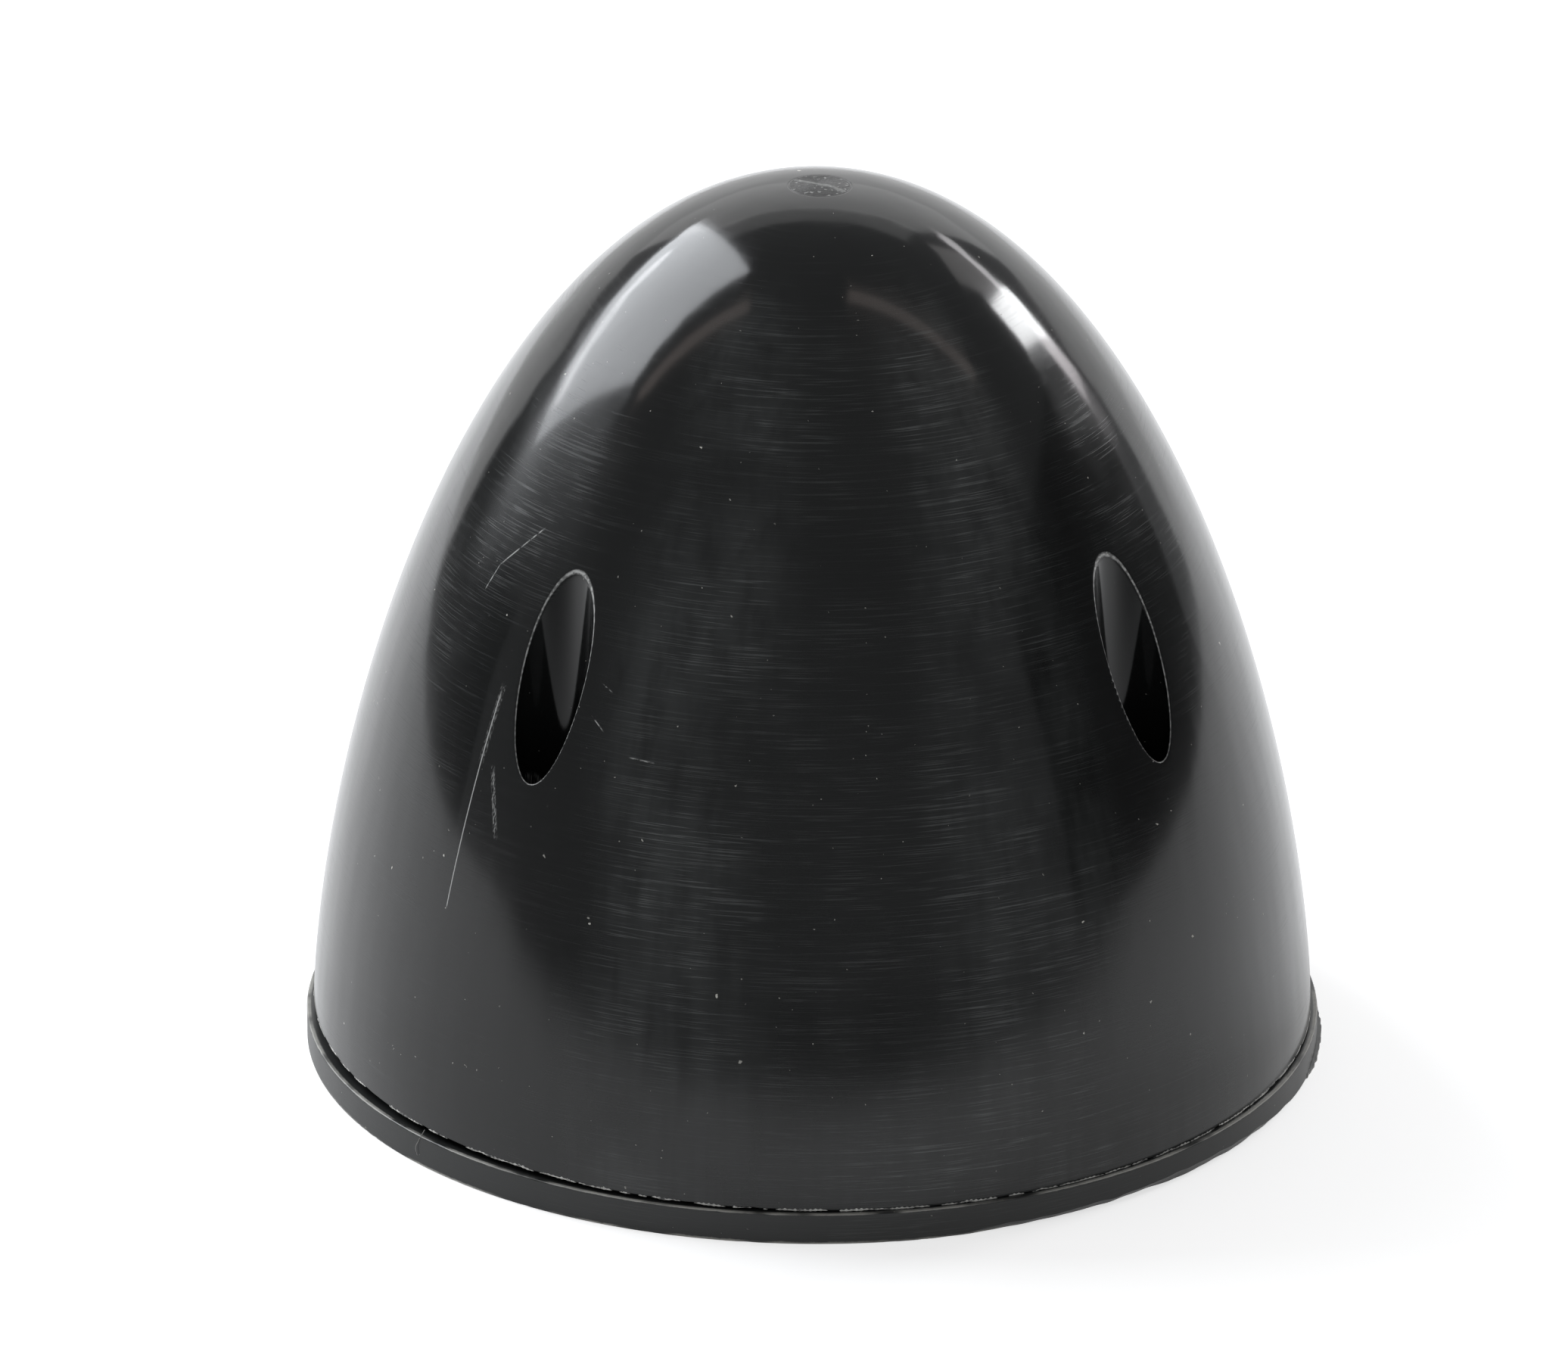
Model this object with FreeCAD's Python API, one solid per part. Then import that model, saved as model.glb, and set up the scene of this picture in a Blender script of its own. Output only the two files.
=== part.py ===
"""Propeller spinner for a model aircraft: a moulded nylon nose cone on a moulded backplate.

Millimetres.  The origin is the centre of the shaft bore at the backplate's back face, and +Z runs
along the shaft towards the nose.  Azimuths are degrees from +X, so the front, -Y, is at -90.
"""
import FreeCAD, Part
import math
import os

V = FreeCAD.Vector
UP = V(0, 0, 1)

# ---- driving dimensions: nose cone -------------------------------------------------------------
CONE_RADIUS = 34.53         # outside of the cone at its mouth
CONE_HEIGHT = 59.86         # from the rim's top face to the nose
CONE_FULLNESS = 1.593       # exponents of the outline r = R * (1 - t**fullness)**bluntness
CONE_BLUNTNESS = 0.469
NOSE_BANDS = 16             # straight bands that follow the outline outside, and in the hollow
CORE_BANDS = 5
CONE_WALL = 2.2
REGISTER_WALL = 1.8         # at the mouth, where a straight bore fits over the backplate's spigot
REGISTER_HEIGHT = 3.6
NOSE_WALL = 2.6
MOUTH_OPEN = 1.2            # widest opening of the joint: the mouth is trimmed out of square
MOUTH_CONTACT_AZIMUTH = -66.0   # where the trimmed mouth still touches the rim

# ---- driving dimensions: screw wells, one tube each, moulded with the cone -----------------------
WELL_COUNT = 4
WELL_FIRST_AZIMUTH = 45.0
WELL_CIRCLE_RADIUS = 27.25
WELL_RADIUS = 2.586
WELL_WALL = 1.4
WELL_WEB = 2.4              # thickness of the web that ties each tube to the cone's wall
WELL_SEAT_HEIGHT = 5.5      # underside of the well's floor above the rim's top face
WELL_FLOOR = 2.4

# ---- driving dimensions: backplate ----------------------------------------------------------------
RIM_LEDGE = 0.47            # how far the rim stands out past the cone's mouth
RIM_HEIGHT = 2.14
DISC_RECESS = 0.5           # how far the disc's back stands in from the rim's foot and the hub pad
FOOT_WIDTH = 4.0            # width of the rim's foot ring
HUB_PAD_RADIUS = 12.0
SPIGOT_CLEARANCE = 0.15     # between the cone's mouth and the ring that centres it
SPIGOT_HEIGHT = 3.0
SPIGOT_WALL = 1.6
HUB_RADIUS = 8.0
HUB_HEIGHT = 8.0
BORE_RADIUS = 4.0
RIB_COUNT = 8
RIB_THICKNESS = 1.4
RIB_DROP = 0.4              # how far the ribs stop below the spigot's top
BOSS_RADIUS = 3.4

# ---- driving dimensions: rim damage ---------------------------------------------------------------
PARE_DEPTHS = (0.30, 0.42, 0.50, 0.45)      # knife cuts on the rim's lower corner, one flat each
PARE_FIRST_AZIMUTH = -72.0
PARE_STEP = 14.0
PARE_SLOPE = 45.0
FLASH_REACH = 0.35          # moulding flash left standing on the rim's lower edge
FLASH_THICKNESS = 0.35
FLASH_AZIMUTH = 2.0
FLASH_HALF_ANGLE = 25.0

# ---- driving dimensions: self-tapping screws -----------------------------------------------------
SCREW_RADIUS = 1.3
SCREW_CLEARANCE = 0.15      # in the well's floor
THREAD_CLEARANCE = 0.02     # in the boss, where the real thread bites
SCREW_LENGTH = 8.0          # under the head
SCREW_POINT = 1.2
HEAD_RADIUS = 2.35
HEAD_HEIGHT = 1.7
SLOT_WIDTH = 0.7
SLOT_LENGTH = 2.9
SLOT_DEPTH = 0.9

# ---- sizes that follow ---------------------------------------------------------------------------
RIM_TOP = RIM_HEIGHT
RIM_RADIUS = CONE_RADIUS + RIM_LEDGE
CORE_RADIUS = CONE_RADIUS - CONE_WALL
MOUTH_BORE = CONE_RADIUS - REGISTER_WALL
SPIGOT_RADIUS = MOUTH_BORE - SPIGOT_CLEARANCE
SPIGOT_TOP = RIM_TOP + SPIGOT_HEIGHT
SEAT_Z = RIM_TOP + WELL_SEAT_HEIGHT
WELL_BOTTOM_Z = SEAT_Z + WELL_FLOOR
SCREW_HOLE_RADIUS = SCREW_RADIUS + SCREW_CLEARANCE
PILOT_RADIUS = SCREW_RADIUS + THREAD_CLEARANCE


def turn(azimuth):
    """Unit vector that points out along an azimuth."""
    angle = math.radians(azimuth)
    return V(math.cos(angle), math.sin(angle), 0)


def well_azimuths():
    return [WELL_FIRST_AZIMUTH + i * 360.0 / WELL_COUNT for i in range(WELL_COUNT)]


def half_outline(base_radius, base_z, height, bands):
    """Half outline from the mouth to the tip as straight bands, with its base and axis: closed."""
    points = [V(0, 0, base_z)]
    for i in range(bands):
        share = math.cos(0.5 * math.pi * i / bands)
        t = (1.0 - share ** (1.0 / CONE_BLUNTNESS)) ** (1.0 / CONE_FULLNESS)
        points.append(V(base_radius * share, 0, base_z + height * t))
    points.append(V(0, 0, base_z + height))
    return Part.makePolygon(points + points[:1]).Edges


def revolved(edges):
    face = Part.Face(Part.Wire(edges))
    return face.revolve(V(0, 0, 0), UP, 360)


def polygon(points):
    """Edges of a closed outline through (radius, z) pairs."""
    corners = [V(r, 0, z) for r, z in points]
    return Part.makePolygon(corners + corners[:1]).Edges


def joined(first, others):
    """One solid from touching shapes."""
    return first.fuse(list(others)).removeSplitter()


# ---- nose cone ------------------------------------------------------------------------------------
def well_tube(azimuth):
    """One screw tube with the web that ties it to the wall, still without its bore."""
    centre = turn(azimuth) * WELL_CIRCLE_RADIUS
    height = CONE_HEIGHT
    tube = Part.makeCylinder(WELL_RADIUS + WELL_WALL, height, V(centre.x, centre.y, SEAT_Z), UP)
    reach = CONE_RADIUS - WELL_CIRCLE_RADIUS
    web = Part.makeBox(reach, WELL_WEB, height, V(WELL_CIRCLE_RADIUS, -WELL_WEB / 2, SEAT_Z))
    web.rotate(V(0, 0, 0), UP, azimuth)
    return tube.fuse(web)


def mouth_trim():
    """Everything below the out-of-square plane that the mouth was trimmed to."""
    size = 4 * CONE_RADIUS
    tool = Part.makeBox(size, size, size, V(-size / 2, -size / 2, -size))
    contact = turn(MOUTH_CONTACT_AZIMUTH)
    hinge = V(-contact.y, contact.x, 0)
    tool.translate(V(0, 0, RIM_TOP))
    tilt = math.degrees(math.asin(MOUTH_OPEN / (2 * CONE_RADIUS)))
    tool.rotate(contact * CONE_RADIUS + UP * RIM_TOP, hinge, tilt)
    return tool


def spinner_cone():
    depth = CONE_HEIGHT - REGISTER_HEIGHT - NOSE_WALL
    core = revolved(half_outline(CORE_RADIUS, RIM_TOP + REGISTER_HEIGHT, depth, CORE_BANDS))
    register = Part.makeCylinder(MOUTH_BORE, REGISTER_HEIGHT, V(0, 0, RIM_TOP), UP)
    hollow = core.fuse(register).cut([well_tube(azimuth) for azimuth in well_azimuths()])
    cone = revolved(half_outline(CONE_RADIUS, RIM_TOP, CONE_HEIGHT, NOSE_BANDS)).cut(hollow)
    bores = []
    for azimuth in well_azimuths():
        centre = turn(azimuth) * WELL_CIRCLE_RADIUS
        floor = V(centre.x, centre.y, WELL_BOTTOM_Z)
        bores.append(Part.makeCylinder(WELL_RADIUS, CONE_HEIGHT, floor, UP))
        seat = V(centre.x, centre.y, RIM_TOP)
        bores.append(Part.makeCylinder(SCREW_HOLE_RADIUS, CONE_HEIGHT, seat, UP))
    return cone.cut(bores + [mouth_trim()])


# ---- backplate ------------------------------------------------------------------------------------
def plate_section():
    """Half section of the disc, rim, spigot ring and hub, from the bore outwards."""
    return polygon([
        (RIM_RADIUS, RIM_TOP),
        (SPIGOT_RADIUS, RIM_TOP),
        (SPIGOT_RADIUS, SPIGOT_TOP),
        (SPIGOT_RADIUS - SPIGOT_WALL, SPIGOT_TOP),
        (SPIGOT_RADIUS - SPIGOT_WALL, RIM_TOP),
        (HUB_RADIUS, RIM_TOP),
        (HUB_RADIUS, HUB_HEIGHT),
        (BORE_RADIUS, HUB_HEIGHT),
        (BORE_RADIUS, 0),
        (HUB_PAD_RADIUS, 0),
        (HUB_PAD_RADIUS, DISC_RECESS),
        (RIM_RADIUS - FOOT_WIDTH, DISC_RECESS),
        (RIM_RADIUS - FOOT_WIDTH, 0),
        (RIM_RADIUS, 0),
    ])


def rib(azimuth):
    """Radial stiffener from the hub to the spigot ring."""
    start = (BORE_RADIUS + HUB_RADIUS) / 2
    end = SPIGOT_RADIUS - SPIGOT_WALL / 2
    height = SPIGOT_HEIGHT - RIB_DROP
    shape = Part.makeBox(end - start, RIB_THICKNESS, height, V(start, -RIB_THICKNESS / 2, RIM_TOP))
    shape.rotate(V(0, 0, 0), UP, azimuth)
    return shape


def boss(azimuth):
    centre = turn(azimuth) * WELL_CIRCLE_RADIUS
    return Part.makeCylinder(BOSS_RADIUS, SEAT_Z - RIM_TOP, V(centre.x, centre.y, RIM_TOP), UP)


def knife_cut(azimuth, depth):
    """A flat slice off the rim's lower corner."""
    size = RIM_RADIUS
    tool = Part.makeBox(size, size, size, V(0, -size / 2, -size / 2))
    tool.rotate(V(0, 0, 0), V(0, 1, 0), PARE_SLOPE)
    reach = V(math.cos(math.radians(PARE_SLOPE)), 0, -math.sin(math.radians(PARE_SLOPE)))
    tool.translate(V(RIM_RADIUS, 0, 0) - reach * depth)
    tool.rotate(V(0, 0, 0), UP, azimuth)
    return tool


def flash():
    """Crescent of moulding flash: a thin disc set off centre, so that it thins out both ways."""
    span = math.radians(FLASH_HALF_ANGLE)
    grown = RIM_RADIUS + FLASH_REACH
    offset = (grown ** 2 - RIM_RADIUS ** 2) / (2 * (grown - RIM_RADIUS * math.cos(span)))
    centre = turn(FLASH_AZIMUTH) * offset
    disc = Part.makeCylinder(grown - offset, FLASH_THICKNESS, centre, UP)
    return disc.cut(Part.makeCylinder(RIM_RADIUS - FOOT_WIDTH / 2, FLASH_THICKNESS, V(0, 0, 0), UP))


def backplate():
    plate = revolved(plate_section())
    ribs = [rib(i * 360.0 / RIB_COUNT) for i in range(RIB_COUNT)]
    bosses = [boss(azimuth) for azimuth in well_azimuths()]
    plate = joined(plate, ribs + bosses + [flash()])
    pilots = []
    for azimuth in well_azimuths():
        centre = turn(azimuth) * WELL_CIRCLE_RADIUS
        pilots.append(Part.makeCylinder(PILOT_RADIUS, SEAT_Z, V(centre.x, centre.y, 0), UP))
    cuts = [knife_cut(PARE_FIRST_AZIMUTH + i * PARE_STEP, depth) for i, depth in enumerate(PARE_DEPTHS)]
    return plate.cut(pilots + cuts)


# ---- screws ---------------------------------------------------------------------------------------
def screw():
    """Self-tapping screw with a cross recess; its head rests at z = 0."""
    tip = -SCREW_LENGTH
    body = revolved(polygon([
        (0, tip),
        (SCREW_RADIUS, tip + SCREW_POINT),
        (SCREW_RADIUS, 0),
        (HEAD_RADIUS, 0),
        (HEAD_RADIUS, HEAD_HEIGHT),
        (0, HEAD_HEIGHT),
    ]))
    floor = HEAD_HEIGHT - SLOT_DEPTH
    for angle in (0, 90):
        slot = Part.makeBox(SLOT_LENGTH, SLOT_WIDTH, HEAD_HEIGHT,
                            V(-SLOT_LENGTH / 2, -SLOT_WIDTH / 2, floor))
        slot.rotate(V(0, 0, 0), UP, angle)
        body = body.cut(slot)
    return body


def cone_screws():
    """The four screws, each in its own well, as separate solids."""
    screws = []
    for azimuth in well_azimuths():
        one = screw()
        one.rotate(V(0, 0, 0), UP, azimuth)
        centre = turn(azimuth) * WELL_CIRCLE_RADIUS
        one.translate(V(centre.x, centre.y, WELL_BOTTOM_Z))
        screws.append(one)
    return Part.makeCompound(screws)


def main():
    os.makedirs("parts", exist_ok=True)
    nodes = {
        "spinner_cone": spinner_cone(),
        "backplate": backplate(),
        "cone_screws": cone_screws(),
    }
    for name, shape in nodes.items():
        shape.exportStep("parts/" + name + ".step")
        print(name, "solids", len(shape.Solids), "valid", shape.isValid(),
              "volume", round(shape.Volume, 1), shape.BoundBox)


main()
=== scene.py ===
import math

import bpy
import numpy as np
from mathutils import Matrix, Vector
from mathutils.geometry import delaunay_2d_cdt


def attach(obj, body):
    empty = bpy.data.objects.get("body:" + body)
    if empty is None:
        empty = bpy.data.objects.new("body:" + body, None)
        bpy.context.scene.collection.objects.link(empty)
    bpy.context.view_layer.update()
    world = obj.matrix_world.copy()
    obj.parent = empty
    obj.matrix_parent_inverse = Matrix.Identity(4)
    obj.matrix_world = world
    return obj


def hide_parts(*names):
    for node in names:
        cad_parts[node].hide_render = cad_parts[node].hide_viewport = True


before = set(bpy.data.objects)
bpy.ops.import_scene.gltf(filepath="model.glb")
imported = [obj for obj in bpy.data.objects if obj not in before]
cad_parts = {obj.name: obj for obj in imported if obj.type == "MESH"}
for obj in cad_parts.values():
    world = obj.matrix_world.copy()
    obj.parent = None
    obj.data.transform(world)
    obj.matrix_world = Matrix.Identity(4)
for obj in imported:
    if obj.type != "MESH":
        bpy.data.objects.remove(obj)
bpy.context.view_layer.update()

MM = 0.001
rng = np.random.default_rng(7)

# ---- sizes of the moulded parts, in millimetres ------------------------------------------------
RIM_TOP = 2.14
CONE_RADIUS = 34.53
CONE_HEIGHT = 59.86
FULLNESS = 1.593
BLUNTNESS = 0.469
MOUTH_OPEN = 1.2
MOUTH_CONTACT = math.radians(-66.0)
CORE_RADIUS = 32.33
CORE_BASE = 5.74
CORE_HEIGHT = 53.66
MOUTH_BORE = 32.73

WELL_CIRCLE = 27.25
WELL_RADIUS = 2.586
WELL_FLOOR_Z = 10.04
WELL_ROUND = 0.16
TUBE_RADIUS = 3.986
TUBE_END_Z = 7.64
SCREW_HOLE = 1.45
WEB = 2.4
WEB_TOP = 14.0
MOUTH_ROUND = 0.08

RIM_RADIUS = 35.0
FOOT_RADIUS = 31.0
RECESS_Z = 0.5
HUB_PAD = 12.0
HUB_RADIUS = 8.0
HUB_Z = 8.0
BORE = 4.0
SPIGOT_OUT = 32.58
SPIGOT_IN = 30.98
SPIGOT_TOP = 5.14
BOSS_RADIUS = 3.4
PILOT = 1.32
RIB_THICKNESS = 1.4
RIB_TOP = 4.74

RIM_ROUND = 0.1
FLASH_REACH = 0.34
FLASH_LIMIT = 0.347
FLASH_SHOWN = 0.02      # reach from which the flash is drawn
FLASH_TOP = 0.34        # height of its root and of its thin edge
FLASH_EDGE = 0.30

ROUNDED_ROWS = 5        # rows of the mouth's fine band that take its round
BAND_TOP = 4.2          # where the trimmed mouth's fine band meets the skin above it
FLAT_RADIUS = 27.0      # radius at which the skin is laid flat while it is divided

NOSE_MARK = (0.20, -0.25)
NOSE_MARK_RADIUS = 2.1

# How many steps each curved face has in a full turn.
EDGE_STEPS = 1440
PLATE_STEPS = 180
HUB_STEPS = 120
WELL_STEPS = 96
TUBE_STEPS = 48
PILOT_STEPS = 36


# ---- outline of the nose -----------------------------------------------------------------------
def outline_radius(z, base, low, height):
    t = np.clip((z - low) / height, 0.0, 1.0)
    return base * (1.0 - t ** FULLNESS) ** BLUNTNESS


def outline_height(r, base, low, height):
    share = np.clip(1.0 - (r / base) ** (1.0 / BLUNTNESS), 0.0, 1.0)
    return low + height * share ** (1.0 / FULLNESS)


def outline_slope(z, base, low, height):
    """How fast the radius falls with height."""
    t = np.clip((z - low) / height, 1e-6, 1.0 - 1e-9)
    left = 1.0 - t ** FULLNESS
    return -base * BLUNTNESS * left ** (BLUNTNESS - 1.0) * FULLNESS * t ** (FULLNESS - 1.0) / height


def outline_normal(p, base, low, height):
    slope = outline_slope(p[:, 2], base, low, height)
    r = np.maximum(np.hypot(p[:, 0], p[:, 1]), 1e-6)
    n = np.stack([p[:, 0] / r, p[:, 1] / r, -slope], 1)
    return n / np.linalg.norm(n, axis=1)[:, None]


def outline_rows(step, base, low, height):
    """Heights spaced evenly along the outline, from the mouth to just short of the tip."""
    z = low + height * (1.0 - (1.0 - np.linspace(0, 1, 6000)) ** 2)
    r = outline_radius(z, base, low, height)
    run = np.concatenate([[0], np.cumsum(np.hypot(np.diff(z), np.diff(r)))])
    count = int(run[-1] / step)
    rows = np.interp(np.linspace(0, run[-1] - 0.15, count), run, z)
    return rows, lambda heights: np.interp(heights, z, run)


# ---- mesh helpers ------------------------------------------------------------------------------
def azimuths(count):
    return np.arange(count) * 2 * math.pi / count


def polar(r, azimuth, z):
    """Points at the given radii, azimuths and heights."""
    return np.stack([r * np.cos(azimuth), r * np.sin(azimuth), z], 1)


def turn_from(place, azimuth):
    """Angle from a place on the circle to each azimuth, between -pi and pi."""
    return (azimuth - place + math.pi) % (2 * math.pi) - math.pi


def hump(away, width):
    """1 in the middle, falling to 0 at the given width."""
    return np.clip(1 - (away / width) ** 2, 0, 1)


def place_object(name, data):
    obj = bpy.data.objects.new(name, data)
    bpy.context.scene.collection.objects.link(obj)
    return obj


class Shape:
    """Points, normals and faces that are gathered into one mesh."""

    def __init__(self):
        self.points, self.normals, self.faces, self.count = [], [], [], 0

    def add(self, points, normals, faces):
        points = np.asarray(points, float)
        self.points.append(points)
        self.normals.append(np.broadcast_to(np.asarray(normals, float), points.shape))
        self.faces += [tuple(int(i) + self.count for i in f) for f in faces]
        self.count += len(points)

    def build(self, name, material, body="root"):
        mesh = bpy.data.meshes.new(name)
        points = np.concatenate(self.points)
        normals = np.concatenate(self.normals)
        mesh.from_pydata((points * MM).tolist(), [], self.faces)
        mesh.polygons.foreach_set("use_smooth", [True] * len(mesh.polygons))
        mesh.update()
        mesh.normals_split_custom_set_from_vertices(normals.tolist())
        mesh.materials.append(material)
        obj = place_object(name, mesh)
        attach(obj, body)
        return obj


def strip(rows, columns, closed=True, flip=False):
    """Quads between rows of points that are stored one row after another."""
    faces = []
    for j in range(rows - 1):
        for i in range(columns if closed else columns - 1):
            k = (i + 1) % columns
            f = (j * columns + i, j * columns + k, (j + 1) * columns + k, (j + 1) * columns + i)
            faces.append(f[::-1] if flip else f)
    return faces


def circle(radius, z, columns, centre=(0.0, 0.0)):
    a = azimuths(columns)
    return np.stack([centre[0] + radius * np.cos(a), centre[1] + radius * np.sin(a),
                     np.full(columns, float(z))], 1)


def tube_wall(shape, radius, z0, z1, columns, centre=(0.0, 0.0), outward=True):
    low, high = circle(radius, z0, columns, centre), circle(radius, z1, columns, centre)
    n = low - [centre[0], centre[1], z0]
    n = n / np.linalg.norm(n, axis=1)[:, None] * (1 if outward else -1)
    shape.add(np.concatenate([low, high]), np.concatenate([n, n]),
              strip(2, columns, flip=not outward))


def ring_face(shape, inner, outer, z, columns, centre=(0.0, 0.0), up=True):
    low, high = circle(inner, z, columns, centre), circle(outer, z, columns, centre)
    shape.add(np.concatenate([low, high]), (0, 0, 1 if up else -1), strip(2, columns, flip=up))


def block(shape, x0, x1, half, z0, z1, azimuth):
    """A rib or web that runs out along an azimuth."""
    c, s = math.cos(azimuth), math.sin(azimuth)
    corners = [(x, y, z) for x in (x0, x1) for y in (-half, half) for z in (z0, z1)]
    turned = np.array([(c * x - s * y, s * x + c * y, z) for x, y, z in corners])
    sides = (((0, 1, 3, 2), (-c, -s, 0)), ((4, 6, 7, 5), (c, s, 0)), ((0, 4, 5, 1), (s, -c, 0)),
             ((2, 3, 7, 6), (-s, c, 0)), ((0, 2, 6, 4), (0, 0, -1)), ((1, 5, 7, 3), (0, 0, 1)))
    for f, n in sides:
        shape.add(turned[list(f)], n, [(0, 1, 2, 3)])


def well_centre(index):
    a = math.radians(45 + 90 * index)
    return WELL_CIRCLE * math.cos(a), WELL_CIRCLE * math.sin(a)


def divided(flat, edges, tolerance):
    """Triangles between the points of a flat outline, numbered as the points are."""
    _, _, faces, source, _, _ = delaunay_2d_cdt(flat, edges, [], 0, tolerance)
    return [tuple(source[i][0] for i in f) for f in faces]


def skin_sector(base, low, height, hole, rings, columns, step, first_row):
    """A quarter of a skin round one well: its points, its triangles and the well's ring."""
    heights, run = outline_rows(step, base, low, height)
    heights = heights[heights > first_row]
    heights = np.concatenate([[first_row], heights])
    cx, cy = well_centre(0)
    angle = np.linspace(0, math.pi / 2, columns + 1)
    a, z = np.meshgrid(angle, heights)
    a, z = a.ravel(), z.ravel()
    r = outline_radius(z, base, low, height)
    away = np.hypot(r * np.cos(a) - cx, r * np.sin(a) - cy) > hole + rings[-1] + 0.12
    a, z = a[away], z[away]
    theta = azimuths(WELL_STEPS)
    for extra in rings:
        x, y = cx + (hole + extra) * np.cos(theta), cy + (hole + extra) * np.sin(theta)
        a = np.concatenate([a, np.arctan2(y, x)])
        z = np.concatenate([z, outline_height(np.hypot(x, y), base, low, height)])
    start = len(a) - WELL_STEPS * len(rings)
    flat = [Vector((u * FLAT_RADIUS, v)) for u, v in zip(a, run(z))]
    edges = [(start + i, start + (i + 1) % WELL_STEPS) for i in range(WELL_STEPS)]
    first = range(start, start + WELL_STEPS)
    faces = [f for f in divided(flat, edges, 1e-7) if not all(i in first for i in f)]
    return polar(outline_radius(z, base, low, height), a, z), faces, np.array(first)


def quarter_turns(points, faces, ring):
    """The sector four times round, welded where the copies meet, with each copy's ring."""
    all_points, all_faces, rings = [], [], []
    for i in range(4):
        c, s = math.cos(i * math.pi / 2), math.sin(i * math.pi / 2)
        turned = points @ np.array([[c, s, 0], [-s, c, 0], [0, 0, 1.0]])
        all_points.append(turned)
        all_faces += [tuple(v + i * len(points) for v in f) for f in faces]
        rings.append(ring + i * len(points))
    merged = np.concatenate(all_points)
    key = np.round(merged / 2e-4).astype(np.int64)
    _, first, inverse = np.unique(key, axis=0, return_index=True, return_inverse=True)
    inverse = inverse.ravel()
    all_faces = [tuple(inverse[v] for v in f) for f in all_faces]
    all_faces = [f for f in all_faces if len(set(f)) == len(f)]
    return merged[first], all_faces, [inverse[r] for r in rings]


def rounded(points, first, second, radius):
    """Moves points near the edge of two surfaces onto its round; gives their normals too.

    first and second each return the signed height above their surface and its direction."""
    p = points.copy()
    for _ in range(8):
        f, df = first(p)
        g, dg = second(p)
        u, v = np.maximum(f + radius, 0), np.maximum(g + radius, 0)
        length = np.hypot(u, v)
        both = (u > 0) & (v > 0)
        value = np.where(both, length - radius, np.maximum(f, g))
        grad = np.where(both[:, None],
                        (u[:, None] * df + v[:, None] * dg) / np.maximum(length, 1e-9)[:, None],
                        np.where((f > g)[:, None], df, dg))
        move = np.where(both, value / np.maximum((grad ** 2).sum(1), 0.05), 0)
        p -= move[:, None] * grad
    return p, grad / np.linalg.norm(grad, axis=1)[:, None]


# ---- the mouth: trimmed out of square, with nicks ----------------------------------------------
def opening(azimuth):
    """Height of the trimmed mouth above the rim."""
    tilt = math.asin(MOUTH_OPEN / (2 * CONE_RADIUS))
    return CONE_RADIUS * (1 - np.cos(azimuth - MOUTH_CONTACT)) * math.tan(tilt)


def bumps(azimuth, count, low, high, narrow, wide):
    """Sum of small bumps at random places round the mouth, lengths in millimetres."""
    total = np.zeros_like(azimuth)
    for _ in range(count):
        place, size = rng.uniform(-math.pi, math.pi), rng.uniform(low, high)
        width = rng.uniform(narrow, wide) / CONE_RADIUS
        away = np.abs(turn_from(place, azimuth))
        total = np.maximum(total, size * hump(away, width))
    return total


edge_azimuth = azimuths(EDGE_STEPS) - math.pi
edge_nicks = bumps(edge_azimuth, 150, 0.01, 0.07, 0.15, 0.7)
edge_nicks += 0.012 * np.sin(edge_azimuth * 37 + 1.3) * np.sin(edge_azimuth * 11)


def around(values, azimuth):
    """Values given round the edge, read at other azimuths."""
    return np.interp(turn_from(0, azimuth), edge_azimuth, values, period=2 * math.pi)


def mouth_height(azimuth):
    raised = opening(azimuth) + around(edge_nicks, azimuth)
    return RIM_TOP + np.maximum(raised, 0.005)


# ---- nose cone ---------------------------------------------------------------------------------
def cone_skin(p):
    """Height above the cone's outline."""
    slope = outline_slope(p[:, 2], CONE_RADIUS, RIM_TOP, CONE_HEIGHT)
    r = np.hypot(p[:, 0], p[:, 1])
    lean = 1 / np.hypot(1, slope)
    height = (r - outline_radius(p[:, 2], CONE_RADIUS, RIM_TOP, CONE_HEIGHT)) * lean
    return height, outline_normal(p, CONE_RADIUS, RIM_TOP, CONE_HEIGHT)


def well_wall(p):
    """Height above the wall of the nearest well, positive inside the well."""
    centre = np.sign(p[:, :2]) * well_centre(0)[0]
    out = p[:, :2] - centre
    away = np.maximum(np.linalg.norm(out, axis=1), 1e-6)
    direction = np.concatenate([-out / away[:, None], np.zeros((len(p), 1))], 1)
    return WELL_RADIUS - away, direction


def mouth_face(p):
    """Height below the cone's trimmed mouth."""
    azimuth = np.arctan2(p[:, 1], p[:, 0])
    direction = np.broadcast_to(np.array([0.0, 0.0, -1.0]), p.shape)
    return mouth_height(azimuth) - p[:, 2], direction


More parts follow.
